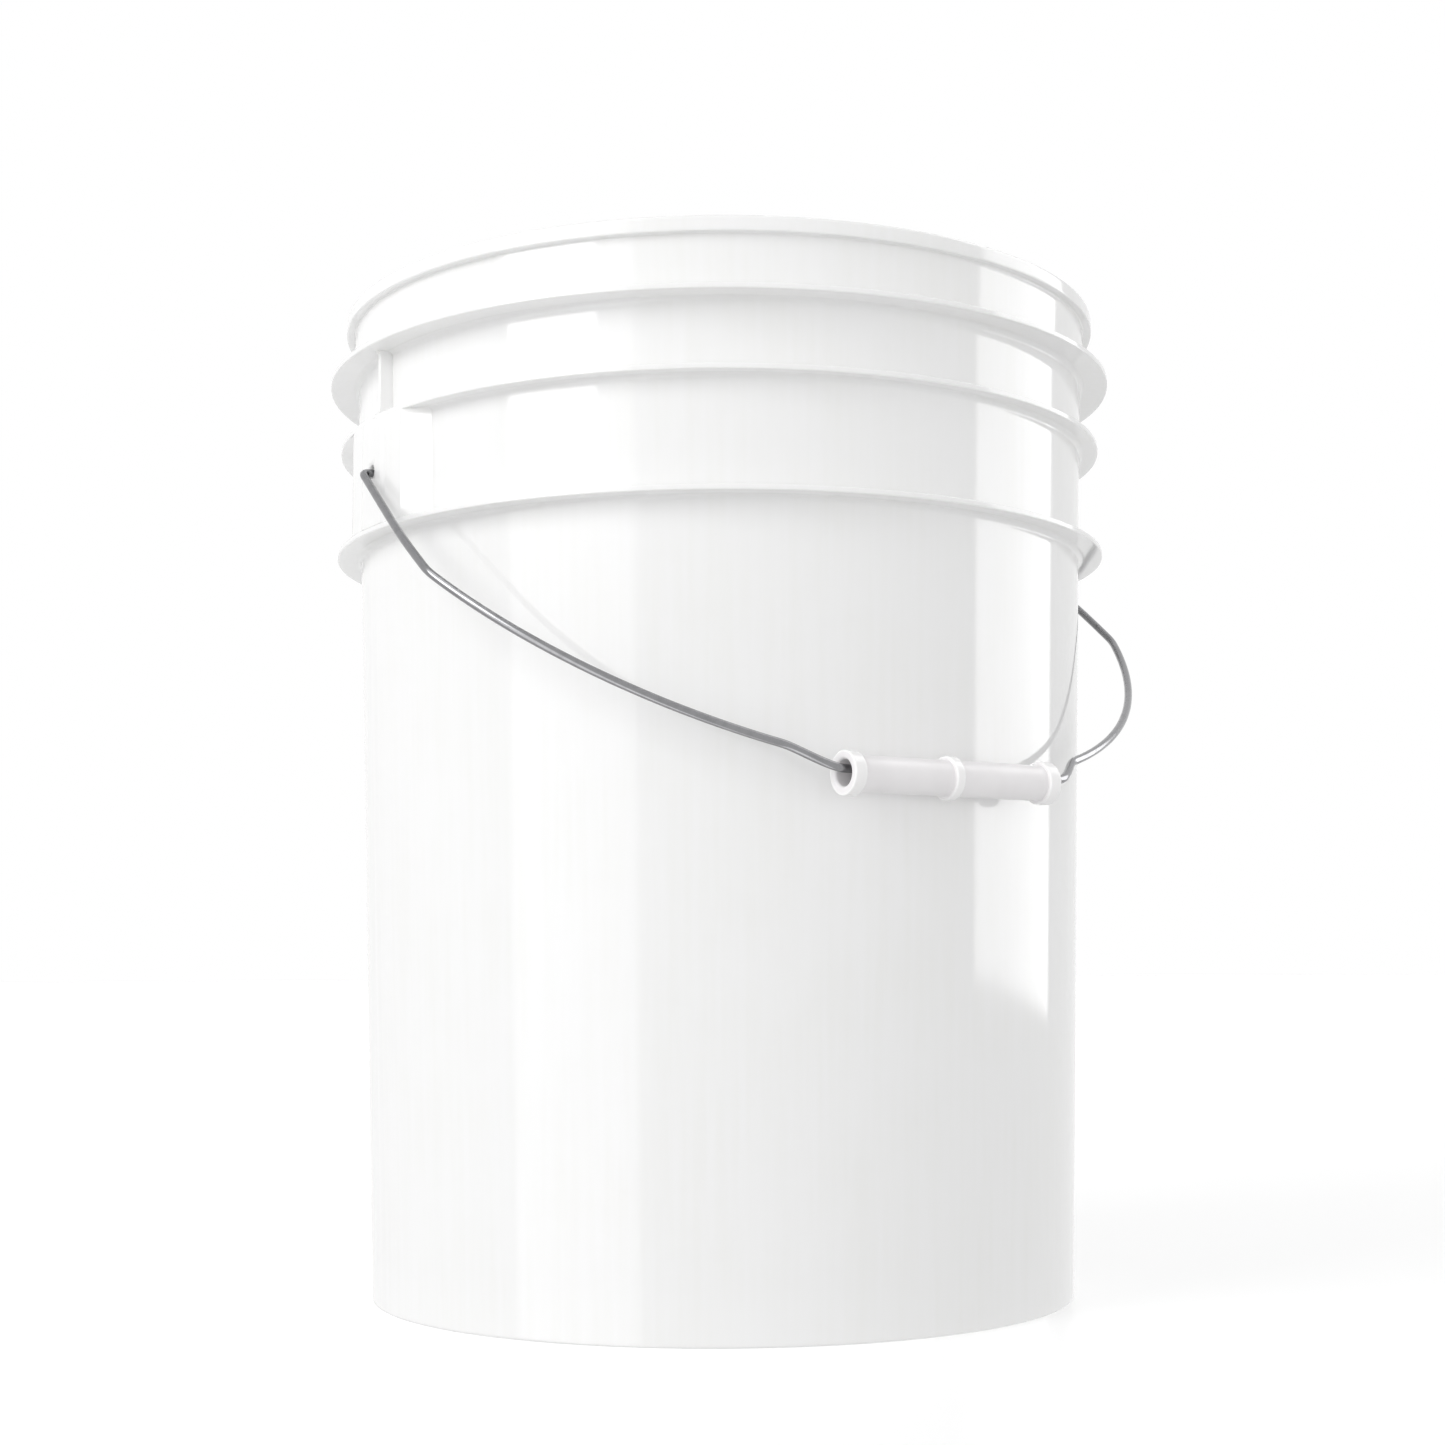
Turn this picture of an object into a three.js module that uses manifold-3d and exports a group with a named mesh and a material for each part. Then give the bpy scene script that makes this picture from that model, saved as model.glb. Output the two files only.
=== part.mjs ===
// A 19-litre open-head fermenting bucket with its wire bail and hand grip.
//
// Millimetres, +Z up. The origin is the centre of the base, on the ground. The bail turns
// about a line along X through the two ears, and hangs towards -Y with its grip on the wall.
import * as THREE from 'three';
import { mergeVertices } from 'three/addons/utils/BufferGeometryUtils.js';
import Module from 'manifold-3d';

const wasm = await Module();
wasm.setup();

// ---- bucket: overall sizes ----
const bucketHeight = 368;
const baseRadius = 130.6; // outside of the wall at the ground
const wallLean = 0.0284; // the wall leans out by this much for each millimetre of height
const wall = 2.3;
const floorThickness = 2.6;
const footDepth = 6; // from the ground up to the underside of the floor
const footWidth = 4.4; // width of the ring that the bucket stands on
const cornerRadius = 9; // inside, where the wall meets the floor
const edgeChamfer = 0.6;
const bucketSegments = 72;

// ---- bucket: the collar of rings, each placed by the depth of its underside below the top ----
const ringThickness = 1.9;
const ringRoot = 1.2; // small slope where a ring's underside meets the wall
const topRing = { depth: 26.6, reach: 10.5 };
const middleRing = { depth: 52.4, reach: 7.0 };
const lowRing = { depth: 92.9, reach: 8.9 };
const neckStep = 1.0; // the wall above the top ring stands out by this much
const rimBeadHeight = 5.3; // the bead that a lid snaps under
const rimBeadReach = 3.1;
const rimTopChamfer = 0.9;

// ---- ears: one pad on each side between the low and middle rings ----
const earHalfWidth = 21.3; // along the face
const earRamp = 7.5; // each end of the pad slopes down to the wall over this length
const earProud = 0.3; // the pad stands out from the middle ring's edge by this much
const bossHalfWidth = 8.4; // the flat patch round the hole
const bossProud = 0.5;
const gussetThickness = 2.0;
const gussetReach = 4.6; // from the wall outwards

// ---- bail: one wire ----
const wireDiameter = 3.0;
const wireSides = 10;
const pinLength = 7.0; // the wire's end, inside the ear's hole
const hookRadius = 3.0; // centre line of the bend outside the ear
const hookGap = 2.2; // between the ear's boss and the wire that hangs past it
const ringClearance = 0.25; // between the upright bail and the widest ring
const kneeAboveRim = 0.8; // the arms bend in just above the rim when the bail stands up
const kneeInset = 0.8; // the knee is this much nearer the centre than the arm's widest point
const kneeRound = 4; // length of wire on each side that the knee's bend takes
const shoulderAngle = 20.5; // degrees between the arms and the start of the shoulder
const reachPastRing = 31.5; // how much longer the bail reaches than the widest ring's radius
const crankDrop = 13.2; // the offset bend at each end of the grip
const crankLength = 17.5;
const crankPlay = 1.5; // the wire runs straight a little past each end of the grip

// ---- grip: one tube on the wire ----
const gripLength = 86;
const gripRadius = 6.1;
const gripBoreRadius = 4.4;
const collarRadius = 7.4;
const endCollarWidth = 4.6;
const middleCollarWidth = 3.4;
const collarRound = 1.3;
const boreMouth = 0.6; // chamfer at each end of the bore
const gripDrop = 1.4; // the grip hangs this far below the wire's centre line
const gripShift = -2.5; // the loose grip lies a little to one side
const gripSegments = 28;

// ---- fits ----
const pinClearance = 0.3; // between the wire's end and the bottom of the ear's hole
const earHoleRadius = 2.4;
const earHoleFloor = 1.0; // plastic left between the end of the hole and the wall
const restGap = 0.4; // between the hanging grip and the wall

// ---- what follows from the sizes above ----
const wireRadius = wireDiameter / 2;
const wallRadius = (z) => baseRadius + wallLean * z;
const underside = (ring) => bucketHeight - ring.depth;
const ringRadius = (ring) => wallRadius(underside(ring)) + ring.reach;
const neckRadius = wallRadius(underside(topRing)) + neckStep;
const rimRadius = neckRadius + wallLean * topRing.depth + rimBeadReach;
const innerRadius = (z) => wallRadius(z) - wall;
const floorTop = footDepth + floorThickness;
const earBottom = underside(lowRing) + ringThickness;
const earTop = underside(middleRing);
const pivotHeight = (earBottom + earTop) / 2;
const earRadius = ringRadius(middleRing) + earProud;
const bossFace = earRadius + bossProud;
const holeHeight = pivotHeight - wireRadius - pinClearance + earHoleRadius;
const holeEnd = wallRadius(holeHeight) + earHoleFloor;
const bailReach = ringRadius(topRing) + reachPastRing;
const hangAngle = hangingAngle();

// A closed mesh becomes a solid for joining and cutting.
function solid(geometry) {
  const bare = geometry.clone();
  bare.deleteAttribute('normal');
  bare.deleteAttribute('uv');
  const merged = mergeVertices(bare, 1e-4);
  return new wasm.Manifold(new wasm.Mesh({
    numProp: 3,
    vertProperties: new Float32Array(merged.attributes.position.array),
    triVerts: new Uint32Array(merged.index.array),
  }));
}

function geometryOf(body) {
  const mesh = body.getMesh();
  const geometry = new THREE.BufferGeometry();
  geometry.setAttribute('position', new THREE.BufferAttribute(mesh.vertProperties, 3));
  geometry.setIndex(new THREE.BufferAttribute(mesh.triVerts, 1));
  geometry.computeVertexNormals();
  return geometry;
}

// The half outline of the bucket: out along the underside, up the outside, over the rim,
// down the inside and back to the axis. Each point is a radius and a height.
function bucketOutline() {
  const outline = [];
  const point = (radius, z) => outline.push(new THREE.Vector2(radius, z));
  const ring = (size) => {
    const z = underside(size);
    point(wallRadius(z - ringRoot), z - ringRoot);
    point(wallRadius(z) + ringRoot, z);
    point(ringRadius(size), z);
    point(ringRadius(size), z + ringThickness);
  };
  const footInside = baseRadius - footWidth;

  point(0, footDepth);
  point(footInside - footDepth / 3, footDepth);
  point(footInside, 0);
  point(baseRadius - edgeChamfer, 0);
  point(wallRadius(edgeChamfer), edgeChamfer);

  ring(lowRing);
  point(wallRadius(earBottom), earBottom);
  ring(middleRing);
  point(wallRadius(earTop + ringThickness), earTop + ringThickness);
  ring(topRing);
  point(neckRadius, underside(topRing) + ringThickness);

  point(rimRadius - rimBeadReach, bucketHeight - rimBeadHeight);
  point(rimRadius, bucketHeight - rimBeadHeight);
  point(rimRadius, bucketHeight - rimTopChamfer);
  point(rimRadius - rimTopChamfer, bucketHeight);
  point(innerRadius(bucketHeight) + rimTopChamfer, bucketHeight);
  point(innerRadius(bucketHeight - rimTopChamfer), bucketHeight - rimTopChamfer);

  // the round inside corner, from the wall down onto the floor
  const centre = { radius: innerRadius(floorTop) - cornerRadius, z: floorTop + cornerRadius };
  const cornerSteps = 5;
  for (let i = 0; i <= cornerSteps; i += 1) {
    const angle = (i / cornerSteps) * Math.PI / 2;
    const lean = wallLean * cornerRadius * (1 - i / cornerSteps);
    point(centre.radius + cornerRadius * Math.cos(angle) + lean, centre.z - cornerRadius * Math.sin(angle));
  }
  point(0, floorTop);
  return outline;
}

// A lathe turns about Y, so the bucket's is stood up onto Z.
function turned(outline, segments) {
  const geometry = new THREE.LatheGeometry(outline, segments);
  geometry.rotateX(Math.PI / 2);
  return geometry;
}

// A block whose plan is an arc of the bucket's wall, on the +X side: its outer face follows
// the radius and each end slopes in to the wall over the ramp.
function arcBlock(halfWidth, ramp, radius, bottom, top) {
  const plan = new THREE.Shape();
  const inner = wallRadius(bottom) - wall / 2;
  const faceAngle = halfWidth / radius;
  const footAngle = (halfWidth + ramp) / radius;
  plan.moveTo(inner * Math.cos(footAngle), -inner * Math.sin(footAngle));
  plan.absarc(0, 0, radius, -faceAngle, faceAngle, false);
  plan.lineTo(inner * Math.cos(footAngle), inner * Math.sin(footAngle));
  plan.absarc(0, 0, inner, footAngle, -footAngle, true);
  const block = new THREE.ExtrudeGeometry(plan, {
    depth: top - bottom,
    bevelEnabled: false,
    curveSegments: 6,
  });
  block.translate(0, 0, bottom);
  return block;
}

// The flat patch round the hole stands on the pad, a little inside the two rings.
function bossBlock() {
  const height = earTop - earBottom;
  const depth = bossFace - wallRadius(earTop);
  const block = new THREE.BoxGeometry(depth, 2 * bossHalfWidth, height);
  block.translate(bossFace - depth / 2, 0, earBottom + height / 2);
  return block;
}

// An upright plate on the ear's centre line, between the middle and top rings.
function gussetPlate() {
  const bottom = earTop + ringThickness / 2;
  const top = underside(topRing) + ringThickness / 2;
  const start = wallRadius(bottom) - wall / 2;
  const end = wallRadius(top) + gussetReach;
  const plate = new THREE.BoxGeometry(end - start, gussetThickness, top - bottom);
  plate.translate((start + end) / 2, 0, (bottom + top) / 2);
  return plate;
}

function earHole() {
  const length = bossFace + 5 - holeEnd;
  const drill = new THREE.CylinderGeometry(earHoleRadius, earHoleRadius, length, 20);
  drill.rotateZ(Math.PI / 2);
  drill.translate(holeEnd + length / 2, 0, holeHeight);
  return drill;
}

function bucketGeometry() {
  let body = solid(turned(bucketOutline(), bucketSegments));
  for (const side of [0, Math.PI]) {
    const onSide = (geometry) => solid(geometry.rotateZ(side));
    body = body.add(onSide(arcBlock(earHalfWidth, earRamp, earRadius, earBottom - 0.2, earTop + 0.2)));
    body = body.add(onSide(bossBlock()));
    body = body.add(onSide(gussetPlate()));
    body = body.subtract(onSide(earHole()));
  }
  return geometryOf(body);
}

// The angle between the hanging bail and straight down, at which the grip's middle collar
// lies against the leaning wall.
function hangingAngle() {
  const distance = wallRadius(pivotHeight - gripDrop) + collarRadius + restGap;
  const leanAngle = Math.atan(wallLean);
  return Math.asin((distance * Math.cos(leanAngle)) / bailReach) - leanAngle;
}

// An arc from one point to another that leaves the first at a given angle from +s. The
// plane's axes are x, out from the centre, and s, away from the pivot line.
function arcStations(from, to, startAngle, count) {
  const chord = new THREE.Vector2().subVectors(to, from);
  const chordAngle = Math.atan2(-chord.x, chord.y);
  const turn = chordAngle - startAngle;
  const radius = chord.length() / (2 * Math.sin(turn));
  return Array.from({ length: count }, (_, i) => {
    const angle = startAngle + (2 * turn * (i + 1)) / count;
    return new THREE.Vector2(
      from.x - radius * (Math.cos(startAngle) - Math.cos(angle)),
      from.y + radius * (Math.sin(angle) - Math.sin(startAngle)),
    );
  });
}

// One half of the bail's centre line, from its end in the +X ear to the middle of the grip.
function bailHalf() {
  const hang = bossFace + hookGap + wireRadius;
  const widest = ringRadius(topRing) + ringClearance + wireRadius;
  const ringLevel = underside(topRing) + ringThickness / 2 - pivotHeight;
  const kneeLevel = bucketHeight - pivotHeight + kneeAboveRim;
  const knee = new THREE.Vector2(widest - kneeInset, kneeLevel);
  const straightEnd = gripLength / 2 + crankPlay;
  const crank = new THREE.Vector2(straightEnd + crankLength, bailReach - crankDrop);

  const pin = new THREE.Vector2(bossFace - pinLength, 0);
  const hook = new THREE.EllipseCurve(
    hang - hookRadius, hookRadius, hookRadius, hookRadius, -Math.PI / 2, 0);
  const arm = new THREE.SplineCurve([
    new THREE.Vector2(hang, hookRadius),
    new THREE.Vector2(widest, ringLevel),
    knee,
  ]);
  const shoulder = arcStations(knee, crank, THREE.MathUtils.degToRad(shoulderAngle), 13);

  // the knee's bend replaces the corner between the arm and the shoulder
  const armPoints = arm.getSpacedPoints(6).slice(1, -1);
  const kneeStart = arm.getPointAt(1 - kneeRound / arm.getLength());
  const kneeEnd = knee.clone().lerp(shoulder[0], kneeRound / knee.distanceTo(shoulder[0]));
  const kneeBend = new THREE.QuadraticBezierCurve(kneeStart, knee, kneeEnd).getPoints(3);

  // the offset bend beside the grip turns down past the shoulder's line, then runs level
  const along = new THREE.Vector2().subVectors(shoulder.at(-1), shoulder.at(-2)).normalize();
  const offset = new THREE.CubicBezierCurve(
    crank,
    crank.clone().addScaledVector(along, 0.28 * crankLength),
    new THREE.Vector2(straightEnd + 0.36 * crankLength, bailReach),
    new THREE.Vector2(straightEnd, bailReach),
  ).getPoints(7).slice(1);

  return [
    pin,
    ...hook.getPoints(4),
    ...armPoints,
    ...kneeBend,
    ...shoulder,
    ...offset,
    new THREE.Vector2(straightEnd / 2, bailReach),
  ];
}

// A curve that an extrusion follows from station to station, however they are spaced.
class WireRoute extends THREE.Curve {
  constructor(stations) {
    super();
    this.stations = stations;
  }

  getPoint(t, target = new THREE.Vector3()) {
    const place = THREE.MathUtils.clamp(t, 0, 1) * (this.stations.length - 1);
    const index = Math.min(Math.floor(place), this.stations.length - 2);
    return target.lerpVectors(this.stations[index], this.stations[index + 1], place - index);
  }

  getPointAt(u, target) {
    return this.getPoint(u, target);
  }

  getTangentAt(u, target = new THREE.Vector3()) {
    const place = Math.round(u * (this.stations.length - 1));
    const before = this.stations[Math.max(place - 1, 0)];
    const after = this.stations[Math.min(place + 1, this.stations.length - 1)];
    return target.subVectors(after, before).normalize();
  }
}

// The bail in its own frame: the pivot line is X, and the wire hangs straight down in -Z.
function bailGeometry() {
  const half = bailHalf();
  const right = half.map((point) => new THREE.Vector3(point.x, 0, -point.y));
  const left = half.map((point) => new THREE.Vector3(-point.x, 0, -point.y)).reverse();
  const stations = [...right, new THREE.Vector3(0, 0, -bailReach), ...left];
  const section = new THREE.Shape();
  for (let i = 0; i < wireSides; i += 1) {
    const angle = (2 * Math.PI * i) / wireSides;
    const corner = [wireRadius * Math.cos(angle), wireRadius * Math.sin(angle)];
    if (i === 0) section.moveTo(...corner);
    else section.lineTo(...corner);
  }
  return new THREE.ExtrudeGeometry(section, {
    steps: stations.length - 1,
    extrudePath: new WireRoute(stations),
    bevelEnabled: false,
  });
}

// The grip, with its bore on the Y axis: a plain tube with a round-edged collar at each end
// and one in the middle.
function gripGeometry() {
  const outline = [];
  const point = (radius, along) => outline.push(new THREE.Vector2(radius, along));
  const collar = (start, end) => {
    point(gripRadius, start);
    point(collarRadius - collarRound / 3, start + collarRound / 4);
    point(collarRadius, start + collarRound);
    point(collarRadius, end - collarRound);
    point(collarRadius - collarRound / 3, end - collarRound / 4);
    point(gripRadius, end);
  };
  const end = gripLength / 2;
  point(gripBoreRadius, -end + boreMouth);
  point(gripBoreRadius + boreMouth, -end);
  collar(-end, -end + endCollarWidth);
  collar(-middleCollarWidth / 2, middleCollarWidth / 2);
  collar(end - endCollarWidth, end);
  point(gripBoreRadius + boreMouth, end);
  point(gripBoreRadius, end - boreMouth);
  point(gripBoreRadius, -end + boreMouth);
  return new THREE.LatheGeometry(outline, gripSegments);
}

function piece(name, geometry, material) {
  const mesh = new THREE.Mesh(geometry, new THREE.MeshStandardMaterial(material));
  mesh.name = name;
  return mesh;
}

const bucket = piece('bucket', bucketGeometry(), { color: 0xf4f5f5, roughness: 0.25, metalness: 0 });
const bailWire = piece('bail_wire', bailGeometry(), { color: 0xb4b6b9, roughness: 0.3, metalness: 1 });
const grip = piece('grip', gripGeometry(), { color: 0xf1efee, roughness: 0.45, metalness: 0 });

// The grip lies along the pivot line's direction and hangs below the wire, whatever the
// angle that the bail hangs at.
grip.rotation.z = Math.PI / 2;
grip.position.set(gripShift, gripDrop * Math.sin(hangAngle), -bailReach - gripDrop * Math.cos(hangAngle));

const bail = new THREE.Group();
bail.add(bailWire, grip);
bail.position.z = pivotHeight;
bail.rotation.x = -hangAngle;

const pail = new THREE.Group();
pail.add(bucket, bail);

export default pail;
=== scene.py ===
# A white fermenting bucket with a wire bail and a moulded grip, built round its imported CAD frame.
# The dictionaries are in millimetres and degrees; makePiece turns the points into Blender's metres.
# X is the line through the two ears, and the bail hangs towards -Y.

import bpy
import numpy as np
from mathutils import Matrix, Vector


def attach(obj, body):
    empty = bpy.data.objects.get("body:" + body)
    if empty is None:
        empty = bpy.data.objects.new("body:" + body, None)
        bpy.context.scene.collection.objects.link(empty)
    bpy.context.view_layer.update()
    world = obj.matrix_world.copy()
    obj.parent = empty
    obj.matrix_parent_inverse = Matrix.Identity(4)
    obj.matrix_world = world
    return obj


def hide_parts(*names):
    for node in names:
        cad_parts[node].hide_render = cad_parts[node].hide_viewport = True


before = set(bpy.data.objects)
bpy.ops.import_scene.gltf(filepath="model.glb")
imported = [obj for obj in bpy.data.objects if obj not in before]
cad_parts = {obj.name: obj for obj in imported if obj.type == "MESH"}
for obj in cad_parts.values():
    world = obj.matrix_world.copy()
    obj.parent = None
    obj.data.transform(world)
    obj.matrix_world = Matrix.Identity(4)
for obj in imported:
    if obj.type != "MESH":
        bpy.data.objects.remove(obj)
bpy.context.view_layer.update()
print("frame loaded with nodes", sorted(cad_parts))


def roundedOutline(corners, rounding, closed=False, steps=4, flat=0.35):
    # A corner P becomes (1-t)^2 A + 2t(1-t) P + t^2 B, where A and B lie the rounding away from P along
    # its two sides. One more point stands on each flat beside the curve, so that its shading stays flat.
    before, after = np.roll(corners, 1, axis=0), np.roll(corners, -1, axis=0)
    back, ahead = before - corners, after - corners
    backLength = np.linalg.norm(back, axis=1, keepdims=True)
    aheadLength = np.linalg.norm(ahead, axis=1, keepdims=True)
    reach = np.minimum(rounding[:, None], 0.42 * np.minimum(backLength, aheadLength))
    start, end = corners + back / backLength * reach, corners + ahead / aheadLength * reach
    t = np.linspace(0, 1, steps + 1)[:, None, None]
    curve = (1 - t) ** 2 * start + 2 * t * (1 - t) * corners + t ** 2 * end
    lead = start + back / backLength * np.minimum(flat, 0.06 * backLength)
    tail = end + ahead / aheadLength * np.minimum(flat, 0.06 * aheadLength)
    points = np.concatenate([lead[None], curve, tail[None]]).transpose(1, 0, 2)
    if closed:
        return points.reshape(-1, 2)
    return np.vstack([corners[:1], points[1:-1].reshape(-1, 2), corners[-1:]])


def filledOutline(outline, spacing):
    # Every stretch longer than the spacing is cut into equal steps: point = start + k * step.
    stretch = np.diff(outline, axis=0)
    count = np.ceil(np.linalg.norm(stretch, axis=1) / spacing).astype(int).clip(1)
    k = np.arange(count.sum()) - np.repeat(np.cumsum(count) - count, count)
    step = np.repeat(stretch / count[:, None], count, axis=0)
    return np.vstack([np.repeat(outline[:-1], count, axis=0) + k[:, None] * step, outline[-1:]])


def smoothStep(value):
    # 0 below 0, 1 above 1, and 3v^2 - 2v^3 between.
    v = np.clip(value, 0, 1)
    return v * v * (3 - 2 * v)


def evenPath(points, spacing):
    # The same path with its points an equal distance apart, measured along it.
    length = np.concatenate([[0], np.cumsum(np.linalg.norm(np.diff(points, axis=0), axis=1))])
    stations = np.linspace(0, length[-1], int(length[-1] / spacing) + 1)
    return np.stack([np.interp(stations, length, column) for column in points.T], axis=1)


def skinFaces(rows, columns, ring):
    # Columns wrap round: each face is (i, j), (i, j+1), (i+1, j+1), (i+1, j). A ring's rows wrap as well.
    # Without that, a fan runs from each end row to the point in its middle, which closes the pole.
    index = np.arange(rows * columns).reshape(rows, columns)
    beside = np.roll(index, -1, axis=1)
    if ring:
        above, aboveBeside = np.roll(index, -1, axis=0), np.roll(beside, -1, axis=0)
        return np.stack([index, beside, aboveBeside, above], axis=-1).reshape(-1, 4).tolist()
    quads = np.stack([index[:-1], beside[:-1], beside[1:], index[1:]], axis=-1).reshape(-1, 4)
    first, last = np.full(columns, rows * columns), np.full(columns, rows * columns + 1)
    fans = np.concatenate([
        np.stack([beside[0], index[0], first], axis=-1),
        np.stack([index[-1], beside[-1], last], axis=-1),
    ])
    return quads.tolist() + fans.tolist()


def makePiece(name, grid, ring=False, route=None, sharpAngle=40):
    # The grid of points P(i, j), in millimetres, becomes one closed mesh in metres.
    def flattened(values):
        body = values.reshape(-1, 3)
        return body if ring else np.vstack([body, values[0].mean(axis=0), values[-1].mean(axis=0)])

    mesh = bpy.data.meshes.new(name)
    mesh.from_pydata((flattened(grid) * 0.001).tolist(), [], skinFaces(*grid.shape[:2], ring))
    if route is not None:  # a place that a pattern follows, such as how far along a wire each point is
        attribute = mesh.attributes.new("route", "FLOAT_VECTOR", "POINT")
        attribute.data.foreach_set("vector", (flattened(route) * 0.001).ravel())
    mesh.shade_smooth()
    mesh.set_sharp_from_angle(angle=np.radians(sharpAngle))
    piece = bpy.data.objects.new(name, mesh)
    bpy.context.scene.collection.objects.link(piece)
    return piece


def joinAndCut(piece, joined, cut, sharpAngle=40):
    # The joined solids become part of the piece and the cut ones are taken out of it.
    for operation, tools in (("UNION", joined), ("DIFFERENCE", cut)):
        for tool in tools:
            step = piece.modifiers.new(tool.name, "BOOLEAN")
            step.operation, step.solver, step.object = operation, "MANIFOLD", tool
    evaluated = piece.evaluated_get(bpy.context.evaluated_depsgraph_get())
    mesh = bpy.data.meshes.new_from_object(evaluated)
    piece.modifiers.clear()
    piece.data = mesh
    mesh.name = piece.name
    mesh.shade_smooth()
    mesh.set_sharp_from_angle(angle=np.radians(sharpAngle))
    for tool in joined + cut:
        bpy.data.objects.remove(tool)


bucket = {
    "height": 368, "baseRadius": 130.6, "wallLean": 0.0284, "wall": 2.3,
    "footDepth": 6, "footWidth": 4.4, "floorThickness": 2.6, "insideCorner": 9,
    "ringThickness": 1.9, "ringRoot": 1.2,
    "lowDepth": 92.9, "lowReach": 8.9,  # a ring's underside below the top, and how far it stands out
    "middleDepth": 52.4, "middleReach": 7.0,
    "topDepth": 26.6, "topReach": 10.5,
    "neckStep": 1.0, "beadHeight": 5.3, "beadReach": 3.1,
    "ringEdge": 0.35, "ringFoot": 0.9, "beadEdge": 1.1,  # rounding of the corners
    "footEdge": 0.9, "gateRadius": 5.0, "gateHeight": 0.7,  # the moulding's gate, under the floor
    "rowSpacing": 14, "coarseStep": 1.4, "fineStep": 0.35,  # the steps are degrees round the axis
}
ear = {
    "halfWidth": 21.3, "ramp": 7.5, "proud": 0.3, "bossHalfWidth": 8.4, "bossProud": 0.5, "bossEdge": 0.6,
    "gussetThickness": 2.0, "gussetReach": 4.6, "gussetFlare": 2.4, "gussetEdge": 0.3,
    "gussetRoot": 1.1, "gussetSink": 0.9,  # how far a gusset reaches into the wall and into the two rings
    "holeRadius": 2.4, "holeFloor": 1.0, "holeMouth": 0.35, "wireGap": 0.3,
}


def wallRadius(z):
    return bucket["baseRadius"] + bucket["wallLean"] * z


lowUnder = bucket["height"] - bucket["lowDepth"]
middleUnder = bucket["height"] - bucket["middleDepth"]
topUnder = bucket["height"] - bucket["topDepth"]
lowRadius = wallRadius(lowUnder) + bucket["lowReach"]
middleRadius = wallRadius(middleUnder) + bucket["middleReach"]
topRadius = wallRadius(topUnder) + bucket["topReach"]
earBottom = lowUnder + bucket["ringThickness"]
pivotHeight = (earBottom + middleUnder) / 2
padRadius = middleRadius + ear["proud"]
bossFace = padRadius + ear["bossProud"]


def bucketOutline():
    # Out along the underside, up the outside, over the rim, down the inside and back to the axis.
    b = bucket
    corners, rounding = [], []

    def corner(radius, z, edge):
        corners.append((radius, z))
        rounding.append(edge)

    def ring(under, radius):
        corner(wallRadius(under - b["ringRoot"]), under - b["ringRoot"], b["ringFoot"])
        corner(wallRadius(under) + b["ringRoot"], under, b["ringFoot"])
        corner(radius, under, b["ringEdge"])
        corner(radius, under + b["ringThickness"], b["ringEdge"])

    floorTop = b["footDepth"] + b["floorThickness"]
    footInside = b["baseRadius"] - b["footWidth"]
    corner(1.2, b["footDepth"] - b["gateHeight"], 0)
    corner(b["gateRadius"] * 0.7, b["footDepth"] - b["gateHeight"], 0.4)
    corner(b["gateRadius"], b["footDepth"], 0.4)
    corner(footInside - 2, b["footDepth"], 1.5)
    corner(footInside, 0, b["footEdge"])
    corner(b["baseRadius"], 0, b["footEdge"])
    ring(lowUnder, lowRadius)
    corner(wallRadius(earBottom), earBottom, b["ringEdge"])
    ring(middleUnder, middleRadius)
    corner(wallRadius(middleUnder + b["ringThickness"]), middleUnder + b["ringThickness"], b["ringFoot"])
    ring(topUnder, topRadius)
    neckRadius = wallRadius(topUnder) + b["neckStep"]
    beadUnder = b["height"] - b["beadHeight"]
    beadRadius = neckRadius + b["wallLean"] * b["topDepth"] + b["beadReach"]
    corner(neckRadius, topUnder + b["ringThickness"], b["ringFoot"])
    corner(beadRadius - b["beadReach"], beadUnder, 0.6)
    corner(beadRadius, beadUnder, 0.5)
    corner(beadRadius, b["height"], b["beadEdge"])
    corner(wallRadius(b["height"]) - b["wall"], b["height"], b["beadEdge"])
    corner(wallRadius(floorTop) - b["wall"], floorTop, b["insideCorner"])
    corner(1.2, floorTop, 0)
    return filledOutline(roundedOutline(np.array(corners, float), np.array(rounding, float)), b["rowSpacing"])


def roundStations():
    # Angles round the axis: close together on the two ears, further apart between them. No angle falls
    # on an ear's ramp, so each ramp is one facet whose shading blends into the pad and the wall.
    b = bucket
    pad, foot = np.degrees(np.array([ear["halfWidth"], ear["halfWidth"] + ear["ramp"]]) / padRadius)
    beside = np.array([foot, foot + 0.2, foot + 0.8])
    onPad = np.linspace(0, pad, int(pad / b["fineStep"]))
    near = np.concatenate([-beside[::-1], -onPad[:0:-1], onPad, beside])
    far = np.linspace(near[-1], 180 - near[-1], int((180 - 2 * near[-1]) / b["coarseStep"]))[1:-1]
    return np.radians(np.concatenate([near, far, near + 180, far + 180]))


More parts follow.
